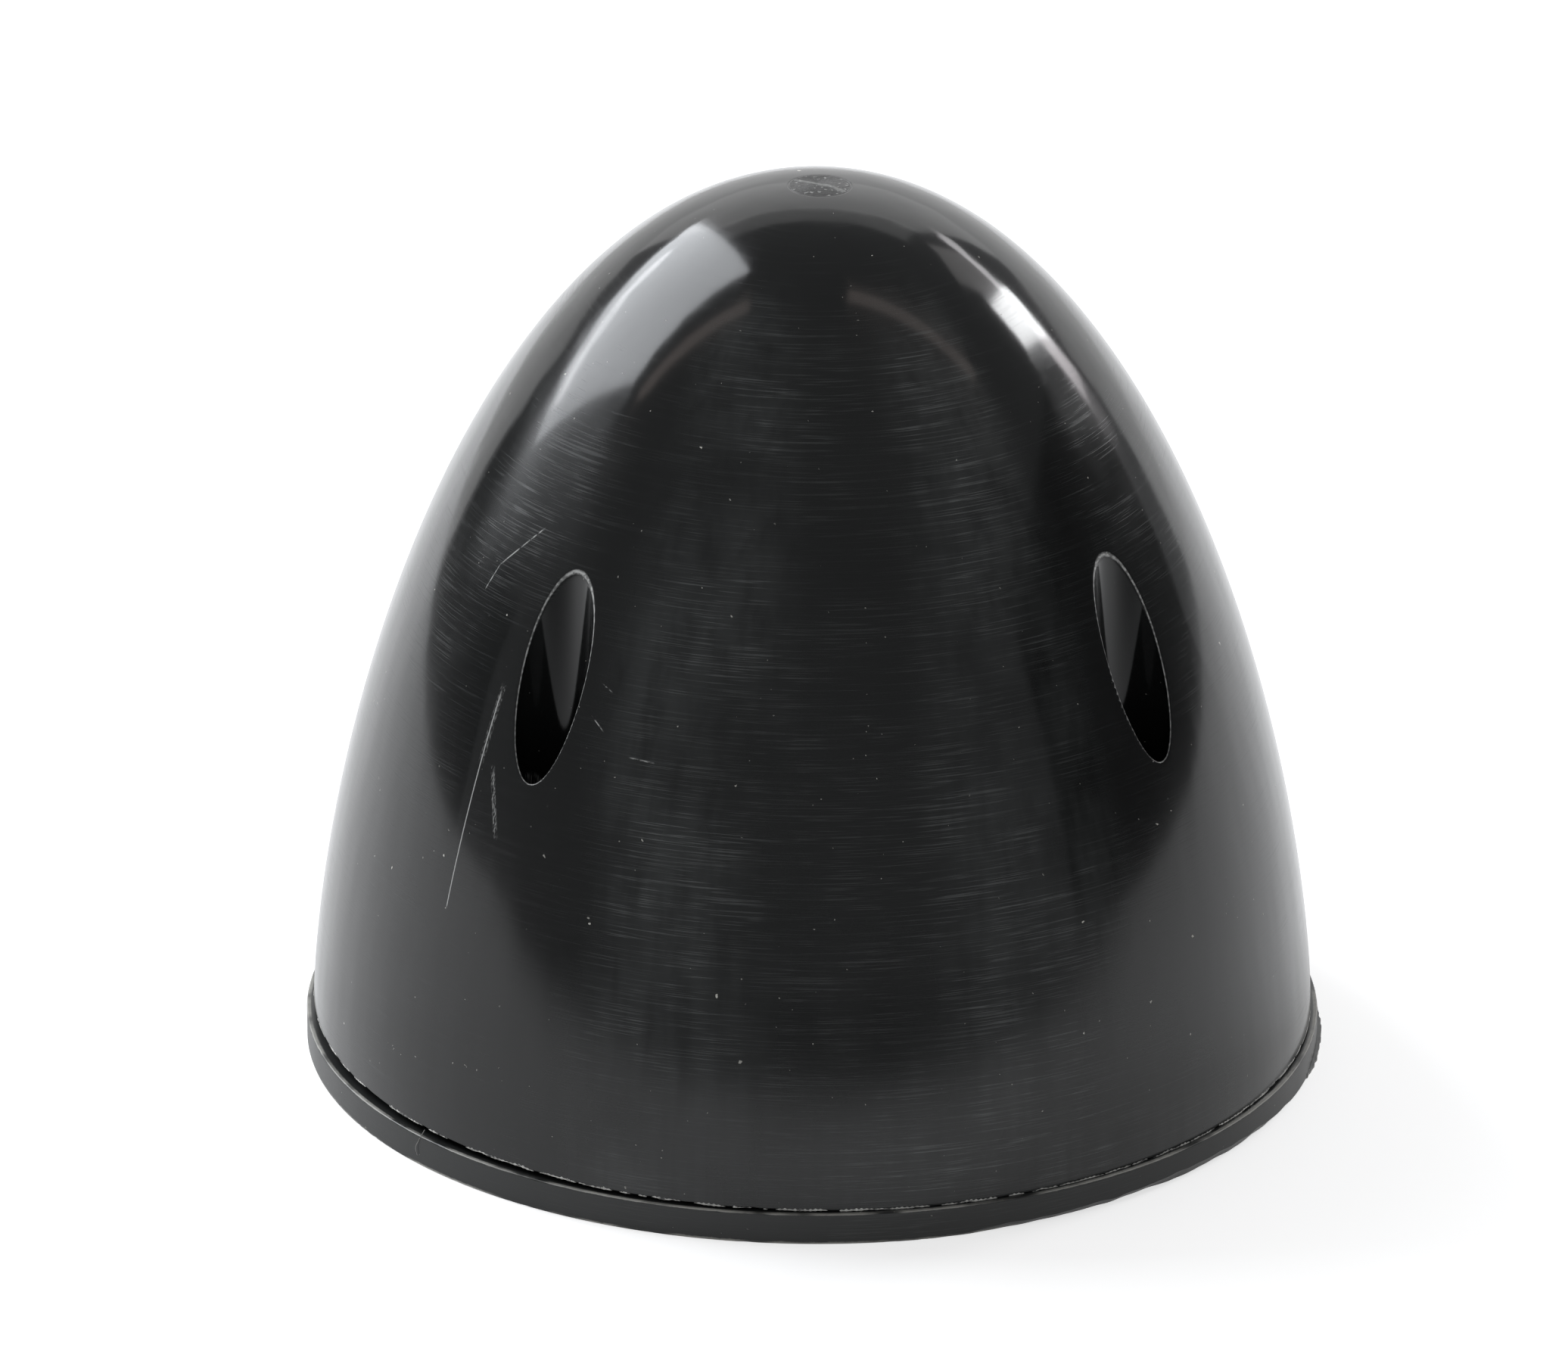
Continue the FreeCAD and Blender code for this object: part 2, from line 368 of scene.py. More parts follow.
def make_cone(material):
    """The cone: skin, wells, trimmed mouth, register bore, inner skin and webs."""
    shape = Shape()
    rings = [0, .02, .045, .08, .12, .17, .23, .32, .45, .65, .95, 1.35]
    quarter = skin_sector(CONE_RADIUS, RIM_TOP, CONE_HEIGHT, WELL_RADIUS, rings, 90, 0.55, BAND_TOP)
    points, faces, holes = quarter_turns(*quarter)
    ring_points = [points[h] for h in holes]
    near = np.array([min(math.dist(p[:2], well_centre(i)) for i in range(4)) < WELL_RADIUS + 0.5
                     for p in points])
    normals = outline_normal(points, CONE_RADIUS, RIM_TOP, CONE_HEIGHT)
    points[near], normals[near] = rounded(points[near], cone_skin, well_wall, WELL_ROUND)
    shape.add(points, normals, faces)
    top = points[:, 2].argmax()
    tip_ring = np.where(points[:, 2] > points[top, 2] - 1e-3)[0]
    tip_ring = tip_ring[np.argsort(np.arctan2(points[tip_ring, 1], points[tip_ring, 0]))]
    tip = np.concatenate([points[tip_ring], [[0, 0, RIM_TOP + CONE_HEIGHT]]])
    n = len(tip_ring)
    shape.add(tip, np.concatenate([normals[tip_ring], [[0, 0, 1.0]]]),
              [(i, (i + 1) % n, n) for i in range(n)])

    depths = np.array([0, .05, .1, .16, .24, .34, .46, .6, .8, 1.1, 1.6])
    for index, ring in enumerate(ring_points):
        count = len(ring)
        rows = [ring - [0, 0, d] for d in depths]
        for share in (0.12, 0.3, 0.5, 0.75, 1.0):
            row = ring.copy()
            row[:, 2] = (ring[:, 2] - depths[-1]) * (1 - share) + WELL_FLOOR_Z * share
            rows.append(row)
        wall = np.concatenate(rows)
        moved, wall_normals = rounded(wall, cone_skin, well_wall, WELL_ROUND)
        lip = np.arange(len(wall)) < count * (len(depths) + 1)
        centre = well_centre(index)
        inward = np.concatenate([np.array(centre) - wall[:, :2], np.zeros((len(wall), 1))], 1)
        inward = inward / WELL_RADIUS
        wall = np.where(lip[:, None], moved, wall)
        wall_normals = np.where(lip[:, None], wall_normals, inward)
        shape.add(wall, wall_normals, strip(len(rows), count))
        ring_face(shape, SCREW_HOLE, WELL_RADIUS, WELL_FLOOR_Z, TUBE_STEPS, centre)
        tube_wall(shape, SCREW_HOLE, TUBE_END_Z, WELL_FLOOR_Z, TUBE_STEPS, centre, outward=False)
        ring_face(shape, SCREW_HOLE, TUBE_RADIUS, TUBE_END_Z, TUBE_STEPS, centre, up=False)

    azimuth = azimuths(EDGE_STEPS)
    base = mouth_height(azimuth)
    heights = [np.minimum(base + d, BAND_TOP) for d in (0, .02, .045, .08, .13, .25, .5, .9)]
    heights.append(np.full(EDGE_STEPS, BAND_TOP))
    band = np.concatenate([polar(outline_radius(z, CONE_RADIUS, RIM_TOP, CONE_HEIGHT), azimuth, z)
                           for z in heights])
    band_normals = outline_normal(band, CONE_RADIUS, RIM_TOP, CONE_HEIGHT)
    low = np.arange(len(band)) < EDGE_STEPS * ROUNDED_ROWS
    band[low], band_normals[low] = rounded(band[low], cone_skin, mouth_face, MOUTH_ROUND)
    shape.add(band, band_normals, strip(len(heights), EDGE_STEPS))

    inner = polar(MOUTH_BORE, azimuth, base)
    shape.add(np.concatenate([band[:EDGE_STEPS], inner]), (0, 0, -1), strip(2, EDGE_STEPS))
    top = polar(MOUTH_BORE, azimuth, np.full(EDGE_STEPS, CORE_BASE))
    inward = polar(-1, azimuth, 0 * azimuth)
    shape.add(np.concatenate([inner, top]), np.concatenate([inward, inward]),
              strip(2, EDGE_STEPS, flip=True))
    ring_face(shape, CORE_RADIUS, MOUTH_BORE, CORE_BASE, PLATE_STEPS, up=False)

    quarter = skin_sector(CORE_RADIUS, CORE_BASE, CORE_HEIGHT, TUBE_RADIUS, [0, .6], 24, 2.0,
                          CORE_BASE)
    points, faces, holes = quarter_turns(*quarter)
    normals = -outline_normal(points, CORE_RADIUS, CORE_BASE, CORE_HEIGHT)
    shape.add(points, normals, [f[::-1] for f in faces])
    for index, hole in enumerate(holes):
        high = points[hole]
        low = high.copy()
        low[:, 2] = TUBE_END_Z
        centre = well_centre(index)
        outward = np.concatenate([high[:, :2] - centre, np.zeros((len(high), 1))], 1) / TUBE_RADIUS
        shape.add(np.concatenate([low, high]), np.concatenate([outward, outward]),
                  strip(2, len(high)))
        block(shape, WELL_CIRCLE + TUBE_RADIUS - 0.2, CORE_RADIUS + 0.3, WEB / 2,
              TUBE_END_Z, WEB_TOP, math.radians(45 + 90 * index))
    cone = shape.build("nose_cone", material)
    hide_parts("spinner_cone")


# ---- backplate ---------------------------------------------------------------------------------
def pared(azimuth):
    """Knife cuts along the rim's lower corner: how far up and how far in each one reaches."""
    up, into = np.zeros_like(azimuth), np.zeros_like(azimuth)
    start, end = math.radians(-79), math.radians(-16)
    place = start
    while place < end:
        share = (place - start) / (end - start)
        depth = 0.16 + 0.42 * math.sin(math.pi * min(1.0, share * 1.15)) ** 0.8
        depth *= rng.uniform(0.75, 1.2)
        slope = rng.uniform(0.75, 1.35)
        flat = depth - RIM_RADIUS * (1 - np.cos(turn_from(place, azimuth))) * 1.3
        up = np.maximum(up, np.clip(flat, 0, None) * slope)
        into = np.maximum(into, np.clip(flat, 0, None) / slope)
        place += math.radians(rng.uniform(2.5, 7.0))
    return np.minimum(up, 1.0), np.minimum(into, 0.75)


def flash_reach(azimuth):
    """How far the moulding flash stands out past the rim."""
    reach = FLASH_REACH * hump(turn_from(math.radians(4), azimuth), math.radians(24)) ** 0.7
    rag = 0.05 * np.sin(azimuth * 91) * np.sin(azimuth * 53 + 2) + 0.03 * np.sin(azimuth * 213)
    return np.clip(reach + rag * (reach > 0.03), 0, FLASH_LIMIT)


def section_normals(grid):
    """Normals of a grid of rows round the axis, from its neighbours."""
    along = np.roll(grid, -1, 1) - np.roll(grid, 1, 1)
    across = np.zeros_like(grid)
    across[1:-1] = grid[2:] - grid[:-2]
    across[0], across[-1] = grid[1] - grid[0], grid[-1] - grid[-2]
    n = np.cross(across, along)
    return n / np.maximum(np.linalg.norm(n, axis=2), 1e-9)[:, :, None]


def rim_band(shape, rows):
    """Adds rows of the rim's section, each a (radius, height), as one smooth band."""
    azimuth = azimuths(EDGE_STEPS)
    grid = np.array([polar(r, azimuth, z + 0 * azimuth) for r, z in rows])
    n = section_normals(grid)
    shape.add(grid.reshape(-1, 3), n.reshape(-1, 3), strip(len(rows), EDGE_STEPS, flip=True))


def plate_back(shape):
    """The disc's back between the foot ring and the hub pad, with the four screw holes."""
    flat, edges, loops = [], [], []
    rounds = [(FOOT_RADIUS, PLATE_STEPS, (0, 0)), (HUB_PAD, PLATE_STEPS // 2, (0, 0))]
    rounds += [(PILOT, PILOT_STEPS, well_centre(i)) for i in range(4)]
    for radius, n, centre in rounds:
        start = len(flat)
        flat += [Vector(p[:2]) for p in circle(radius, 0, n, centre)]
        edges += [(start + i, start + (i + 1) % n) for i in range(n)]
        loops.append(range(start, start + n))
    faces = [f[::-1] for f in divided(flat, edges, 1e-6)
             if not any(all(i in loop for i in f) for loop in loops[1:])]
    shape.add([(p.x, p.y, RECESS_Z) for p in flat], (0, 0, -1), faces)


def make_backplate(material):
    """The backplate: rim, back, hub, spigot ring, bosses and ribs."""
    shape = Shape()
    azimuth = azimuths(EDGE_STEPS)
    up, into = pared(azimuth)
    reach = flash_reach(azimuth)
    scored = 1 + 0.10 * np.sin(azimuth * 67) * np.sin(azimuth * 29 + 1)
    up, into = up * scored, into * scored
    nick = 0.5 * around(bumps(edge_azimuth, 46, 0.02, 0.09, 0.15, 0.6), azimuth)
    top_nick = 0.4 * around(bumps(edge_azimuth, 60, 0.01, 0.06, 0.15, 0.5), azimuth)
    full = np.full(EDGE_STEPS, RIM_RADIUS)
    rim_band(shape, [(SPIGOT_OUT, RIM_TOP), (full - 0.5, RIM_TOP), (full - 0.25, RIM_TOP),
                     (full - RIM_ROUND - top_nick, RIM_TOP)])
    turn_in = [(full - RIM_ROUND * (1 - math.sin(t)) - top_nick * math.cos(t),
                RIM_TOP - RIM_ROUND * (1 - math.cos(t)) - top_nick * math.sin(t) * 0.6)
               for t in np.linspace(0, math.pi / 2, 5)]
    flash = reach > FLASH_SHOWN
    low = np.where(flash, FLASH_TOP, np.maximum(up, 0.05 + nick))
    out = np.where(flash, full + reach, full)
    rim_band(shape, turn_in + [(full, RIM_TOP - 0.35)] +
             [(full, (RIM_TOP - 0.4) * (1 - s) + low * s) for s in (0.3, 0.65, 1.0)])
    rim_band(shape, [(full, low), (out, np.where(flash, FLASH_EDGE, low))])
    foot_in = np.maximum(into, 0.04 + nick)
    cut = []
    for s, groove in zip(np.linspace(0, 1, 5), (0, 0.012, -0.006, 0.014, 0)):
        r = out * (1 - s) + np.where(flash, out, full - foot_in) * s
        z = np.where(flash, FLASH_EDGE * (1 - s), low * (1 - s))
        cut.append((r - groove * (up > 0.05), z))
    rim_band(shape, cut)
    rim_band(shape, [(cut[-1][0], 0.0), (FOOT_RADIUS, 0.0)])
    tube_wall(shape, FOOT_RADIUS, 0, RECESS_Z, 2 * PLATE_STEPS, outward=False)
    plate_back(shape)
    tube_wall(shape, HUB_PAD, 0, RECESS_Z, PLATE_STEPS)
    ring_face(shape, BORE, HUB_PAD, 0, PLATE_STEPS, up=False)
    tube_wall(shape, BORE, 0, HUB_Z, HUB_STEPS, outward=False)
    ring_face(shape, BORE, HUB_RADIUS, HUB_Z, HUB_STEPS)
    tube_wall(shape, HUB_RADIUS, RIM_TOP, HUB_Z, HUB_STEPS)
    ring_face(shape, HUB_RADIUS, SPIGOT_IN, RIM_TOP, PLATE_STEPS)
    tube_wall(shape, SPIGOT_IN, RIM_TOP, SPIGOT_TOP, PLATE_STEPS, outward=False)
    ring_face(shape, SPIGOT_IN, SPIGOT_OUT, SPIGOT_TOP, PLATE_STEPS)
    tube_wall(shape, SPIGOT_OUT, RIM_TOP, SPIGOT_TOP, PLATE_STEPS)
    for centre in (well_centre(i) for i in range(4)):
        tube_wall(shape, BOSS_RADIUS, RIM_TOP, TUBE_END_Z, TUBE_STEPS, centre)
        ring_face(shape, PILOT, BOSS_RADIUS, TUBE_END_Z, TUBE_STEPS, centre)
        tube_wall(shape, PILOT, RECESS_Z, TUBE_END_Z, PILOT_STEPS, centre, outward=False)
    for i in range(8):
        block(shape, HUB_RADIUS - 0.5, SPIGOT_IN + 0.3, RIB_THICKNESS / 2, RIM_TOP, RIB_TOP,
              i * math.pi / 4)
    plate = shape.build("moulded_backplate", material)
    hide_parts("backplate")


# ---- burrs and a fibre -------------------------------------------------------------------------
# Azimuth and half width in degrees, and height.
BURR_CLUMPS = ((-124, 1.2, 0.16), (-119.5, 1.0, 0.2), (-117, 0.8, 0.12), (-96, 1.0, 0.12),
               (-47, 1.4, 0.13), (-40, 1.6, 0.16), (-26, 3.2, 0.2), (-21, 1.5, 0.14))
SHORTEST_BURR = 0.018
LONGEST_RUN = 200


def make_burrs(material):
    """Pale slivers of scuffed nylon along the mouth's trimmed edge."""
    shape = Shape()
    columns = 2 * EDGE_STEPS
    azimuth = azimuths(columns) - math.pi
    size = around(bumps(edge_azimuth, 300, 0.05, 0.18, 0.2, 1.1), azimuth)
    clumps = np.zeros(columns)
    for place, width, tall in BURR_CLUMPS:
        away = np.abs((np.degrees(azimuth) - place + 180) % 360 - 180)
        rag = 0.6 + 0.4 * np.sin(azimuth * 900 + place) * np.sin(azimuth * 391)
        clumps = np.maximum(clumps, tall * rag * hump(away, width))
    size = np.maximum(size * (0.7 + 0.3 * np.sin(azimuth * 640)), clumps)
    base = mouth_height(azimuth)
    shown = size > SHORTEST_BURR
    for start in np.where(shown & ~np.roll(shown, 1))[0]:
        end = start
        while shown[end % columns] and end - start < LONGEST_RUN:
            end += 1
        i = np.arange(start, end + 1) % columns
        if len(i) < 3:
            continue
        tall = size[i].copy()
        tall[[0, -1]] = 0.004
        rows = []
        for lift, proud in ((-0.35, 0.0), (-0.1, 0.45), (0.35, 0.5), (1.0, 0.05)):
            z = np.maximum(base[i] + tall * lift, RIM_TOP + 0.004)
            r = outline_radius(z, CONE_RADIUS, RIM_TOP, CONE_HEIGHT) + tall * proud * 0.35 - 0.004
            rows.append(polar(r, azimuth[i], z))
        grid = np.concatenate(rows)
        outward = polar(1, np.tile(azimuth[i], 4), np.repeat([-0.5, -0.1, 0.3, 0.5], len(i)))
        outward += rng.normal(0, 0.3, outward.shape)
        outward /= np.linalg.norm(outward, axis=1)[:, None]
        shape.add(grid, outward, strip(4, len(i), closed=False))
    burrs = shape.build("mouth_burrs", material)


def on_part(azimuth, radius, height):
    """A point in metres from an azimuth in degrees and a radius and height in millimetres."""
    a = math.radians(azimuth)
    return Vector((radius * math.cos(a) * MM, radius * math.sin(a) * MM, height * MM))


# Azimuth, radius and height along the fibre.
FIBRE_PATH = ((-144.4, 34.75, 2.62), (-144.9, 35.05, 1.80), (-145.3, 35.11, 1.20),
              (-145.1, 35.08, 0.68))


def make_fibre(material):
    """A loose fibre caught in the joint."""
    curve = bpy.data.curves.new("caught_fibre", "CURVE")
    curve.dimensions = "3D"
    curve.bevel_depth = 0.018 * MM
    curve.bevel_resolution = 2
    spline = curve.splines.new("BEZIER")
    spline.bezier_points.add(len(FIBRE_PATH) - 1)
    for point, place in zip(spline.bezier_points, FIBRE_PATH):
        point.co = on_part(*place)
        point.handle_left_type = point.handle_right_type = "AUTO"
    curve.materials.append(material)
    obj = place_object("caught_fibre", curve)
    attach(obj, "root")


# ---- shader helpers ----------------------------------------------------------------------------
class Graph:
    """Short ways to place and join shader nodes."""

    def __init__(self, tree):
        self.tree = tree

    def node(self, kind, inputs=None, **settings):
        n = self.tree.nodes.new(kind)
        for key, value in settings.items():
            setattr(n, key, value)
        for key, value in (inputs or {}).items():
            self.put(value, n.inputs[key])
        return n

    def put(self, value, socket):
        if isinstance(value, bpy.types.NodeSocket):
            self.tree.links.new(value, socket)
        else:
            socket.default_value = value

    def math(self, operation, a, b=0.0):
        return self.node("ShaderNodeMath", {0: a, 1: b}, operation=operation).outputs[0]

    def chain(self, operation, first, *others):
        for value in others:
            first = self.math(operation, first, value)
        return first

    def times(self, *values):
        return self.chain("MULTIPLY", *values)

    def plus(self, *values):
        return self.chain("ADD", *values)

    def most(self, *values):
        return self.chain("MAXIMUM", *values)

    def least(self, *values):
        return self.chain("MINIMUM", *values)

    def less(self, a, b):
        return self.math("SUBTRACT", a, b)

    def over(self, a, b):
        return self.math("DIVIDE", a, b)

    def size(self, a):
        return self.math("ABSOLUTE", a)

    def rest(self, a):
        """What is left of 1."""
        return self.math("SUBTRACT", 1.0, a)

    def vector(self, operation, a, b=(0, 0, 0)):
        n = self.node("ShaderNodeVectorMath", {0: a, 1: b}, operation=operation)
        return n.outputs["Value" if operation in ("LENGTH", "DOT_PRODUCT") else "Vector"]

    def step(self, value, low, high):
        """0 below low and 1 above high, smoothly."""
        return self.node("ShaderNodeMapRange", {0: value, 1: low, 2: high},
                         interpolation_type="SMOOTHSTEP").outputs[0]

    def fade(self, value, low, high):
        """1 below low and 0 above high, smoothly."""
        return self.rest(self.step(value, low, high))

    def noise(self, vector, scale, detail=2.0, rough=0.5):
        return self.node("ShaderNodeTexNoise", {"Vector": vector, "Scale": scale, "Detail": detail,
                                                "Roughness": rough}).outputs[0]

    def mix(self, amount, a, b):
        n = self.node("ShaderNodeMix", data_type="RGBA")
        self.put(amount, n.inputs[0])
        self.put(a, n.inputs[6])
        self.put(b, n.inputs[7])
        return n.outputs[2]


def group(name, outputs):
    """A shader node group that reads a point on the part and puts out numbers."""
    tree = bpy.data.node_groups.new(name, "ShaderNodeTree")
    for label in outputs:
        tree.interface.new_socket(name=label, in_out="OUTPUT", socket_type="NodeSocketFloat")
    g = Graph(tree)
    place = g.node("ShaderNodeTexCoord").outputs["Object"]
    return tree, g, place, g.node("NodeGroupOutput")


# Tilt, scale along and across the lines, and the noise levels between which a line appears.
HAIRLINES = ((0.015, 130, 11000, 0.57, 0.72), (0.06, 220, 15000, 0.57, 0.73),
             (-0.10, 200, 9000, 0.64, 0.77))
# Scale, largest size, share of cells left empty, and tone.
SPECKS = ((1300, 0.085, 0.50, 0.7), (640, 0.072, 0.52, 1.1), (250, 0.040, 0.55, 1.5))


def wiped_lines_group():
    """Hairlines that run round the part, the patches between the wells that they dull, and painted
    reflections: paler columns of the softboxes' light between the wells and the floor's glow along
    the cone's foot.
    """
    tree, g, place, out = group("wiped_lines", ["Lines", "Haze", "PaintedSheen"])
    masks = []
    for tilt, along, across, low, high in HAIRLINES:
        leaning = g.node("ShaderNodeMapping", {"Vector": place, "Rotation": (tilt, tilt * 0.7, 0),
                                               "Scale": (along, along, across)}).outputs[0]
        masks.append(g.step(g.noise(leaning, 1.0, 1.5), low, high))
    lines = g.most(*masks)
    x, y, z = g.node("ShaderNodeSeparateXYZ", {0: place}).outputs
    square = g.plus(g.times(x, x), g.times(y, y), 1e-9)
    reach = g.math("SQRT", square)
    turned = g.size(g.over(g.times(x, y), square))
    between = g.fade(turned, 0.38, 0.495)
    # painted reflection: columns between the wells where the softboxes' light, smeared up the cone,
    # is painted in as a paler colour
    columns = g.times(g.step(turned, 0.10, 0.30), g.fade(turned, 0.43, 0.495))
    front = g.step(g.over(g.times(y, -1.0), reach), 0.5, 0.85)
    below_nose = g.fade(z, 0.054, 0.060)
    share = g.times(g.plus(g.times(front, 0.7), 0.3), below_nose)
    patch = g.step(g.noise(place, 60, 3.0), 0.25, 0.62)
    haze = g.times(patch, share, g.plus(g.times(between, 0.9), 0.1))
    beside = g.over(g.size(x), reach)
    shoulder = g.times(g.step(beside, 0.60, 0.78), g.fade(beside, 0.92, 0.985))
    level = g.times(g.step(z, 0.034, 0.043), g.fade(z, 0.048, 0.053))
    shoulder = g.times(shoulder, level, g.math("LESS_THAN", y, 0.0))
    haze = g.most(haze, g.times(shoulder, g.times(patch, 0.8)))
    upright = g.noise(g.vector("MULTIPLY", place, (1.0, 1.0, 0.012)), 700, 2.0)
    sheen_patches = g.times(g.step(g.noise(place, 95, 3.0), 0.20, 0.70), g.step(upright, 0.05, 0.72))
    # painted reflection: the floor's glow painted along the cone's foot, stronger towards +x
    foot = g.times(g.fade(z, 0.003, 0.018), g.plus(g.times(g.step(x, -0.012, 0.012), 0.8), 0.2))
    foot_sheen_breakup = g.plus(g.times(sheen_patches, 0.5), g.times(patch, 0.4))
    # painted reflection: the sheen mask joins the painted columns and the painted foot band
    worn = g.most(g.times(columns, share, sheen_patches), g.times(foot, foot_sheen_breakup))
    bundles = g.plus(g.times(g.step(g.noise(place, 330, 2.0), 0.38, 0.62), 0.7), 0.3)
    shown = g.times(g.plus(g.times(haze, 0.9), 0.09), bundles)
    g.put(g.times(lines, shown), out.inputs["Lines"])
    g.put(haze, out.inputs["Haze"])
    g.put(worn, out.inputs["PaintedSheen"])
    return tree


def dust_group():
    """Specks of dust and pale grit that lie on the part."""
    tree, g, place, out = group("dust_specks", ["Dust"])
    torn = g.node("ShaderNodeTexNoise",
                  {"Vector": place, "Scale": 2600.0, "Detail": 2.0}).outputs["Color"]
    shift = g.vector("MULTIPLY", g.vector("SUBTRACT", torn, (0.5,) * 3), (0.45 * MM,) * 3)
    spot = g.vector("ADD", place, shift)
    found = []
    for scale, size, share, tone in SPECKS:
        cell = g.node("ShaderNodeTexVoronoi", {"Vector": spot, "Scale": float(scale)})
        chance = g.node("ShaderNodeSeparateColor", {0: cell.outputs["Color"]})
        limit = g.times(g.math("POWER", chance.outputs[1], 1.4), size)
        inside = g.math("LESS_THAN", cell.outputs["Distance"], limit)
        chosen = g.times(g.math("GREATER_THAN", chance.outputs[0], share), tone)
        found.append(g.times(inside, chosen, g.plus(chance.outputs[2], 0.3)))
    g.put(g.least(g.most(*found), 1.0), out.inputs["Dust"])
    return tree


def grain_group():
    """The moulded skin's faint unevenness."""
    tree, g, place, out = group("moulded_grain", ["Fine", "Broad"])
    g.put(g.noise(place, 2600, 3.0, 0.6), out.inputs["Fine"])
    upright = g.vector("MULTIPLY", place, (1.0, 1.0, 0.28))
    g.put(g.noise(upright, 260, 1.5), out.inputs["Broad"])
    return tree


def material(name):
    made = bpy.data.materials.new(name)
    made.use_nodes = True
    return made, Graph(made.node_tree), made.node_tree.nodes["Principled BSDF"]


def use(g, tree):
    """The outputs of a node group placed in a material."""
    n = g.node("ShaderNodeGroup")
    n.node_tree = tree
    return n.outputs


def bump(g, shader, height, distance):
    n = g.node("ShaderNodeBump", {"Height": height, "Distance": distance})
    g.put(n.outputs[0], shader.inputs["Normal"])


def scratch(g, place, start, end, width):
    """Mask of a scratch that follows the surface between two points."""
    p, q = on_part(*start), on_part(*end)
    along = (q - p).normalized()
    length = (q - p).length
    middle = (p + q) / 2
    outward = Vector((middle.x, middle.y, 0)).normalized()
    side = along.cross(outward).normalized()
    offset = g.vector("SUBTRACT", place, tuple(p))
    run = g.vector("DOT_PRODUCT", offset, tuple(along))
    away = g.size(g.vector("DOT_PRODUCT", offset, tuple(side)))
    ends = g.times(g.step(run, 0.0, 0.5 * MM), g.fade(run, length - 0.6 * MM, length))
    facing = g.math("GREATER_THAN", g.vector("DOT_PRODUCT", place, tuple(outward)), 0.01)
    near = g.fade(away, width * 0.4 * MM, width * MM)
    return g.times(near, ends, facing)


def below_skin(g, z, reach):
    """How deep a point lies inside the cone's outline, measured square to the axis."""
    t = g.over(g.less(z, RIM_TOP * MM), CONE_HEIGHT * MM)
    t = g.least(g.most(t, 0.0), 1.0)
    round_in = g.math("POWER", g.rest(g.math("POWER", t, FULLNESS)), BLUNTNESS)
    return g.less(g.times(round_in, CONE_RADIUS * MM), reach)


def nose_recess(g, place, z):
    """Masks of the shallow recess at the nose: its floor, its edge and the ridge across it."""
    centre = (NOSE_MARK[0] * MM, NOSE_MARK[1] * MM, 0)
    offset = g.vector("MULTIPLY", g.vector("SUBTRACT", place, centre), (1, 1, 0))
    away = g.vector("LENGTH", offset)
    top = g.step(z, 0.0585, 0.0588)
    floor = g.times(g.fade(away, (NOSE_MARK_RADIUS - 0.14) * MM, NOSE_MARK_RADIUS * MM), top)
    edge = g.size(g.less(away, (NOSE_MARK_RADIUS + 0.02) * MM))
    edge = g.times(g.fade(edge, 0.02 * MM, 0.10 * MM), top)
    wander = g.times(g.less(g.noise(place, 900, 3.0), 0.5), 0.9 * MM)
    across = g.size(g.plus(g.vector("DOT_PRODUCT", offset, (0.62, 0.78, 0)), wander))
    ridge = g.times(g.fade(across, 0.06 * MM, 0.30 * MM), floor)
    return floor, edge, ridge


# Each scratch's start and end, as azimuth, radius and height, and its width.
FINE_MARKS = (((-143.2, 28.2, 33.0), (-144.9, 32.5, 18.0), 0.06),
              ((-151.8, 25.4, 40.0), (-144.6, 23.7, 43.3), 0.06),
              ((-153.1, 26.2, 38.2), (-151.6, 25.3, 40.2), 0.05),
              ((-126.8, 27.3, 35.4), (-124.6, 27.5, 34.9), 0.05),
              ((-127.4, 28.1, 33.3), (-125.0, 28.5, 32.4), 0.05),
              ((-121.0, 28.9, 31.2), (-116.8, 28.9, 31.1), 0.06))
SCUFFS = (((-143.0, 28.2, 33.6), (-143.8, 29.8, 28.0), 0.32),
          ((-141.6, 29.8, 28.4), (-138.6, 31.1, 23.7), 0.24))
NYLON_IOR = 1.53


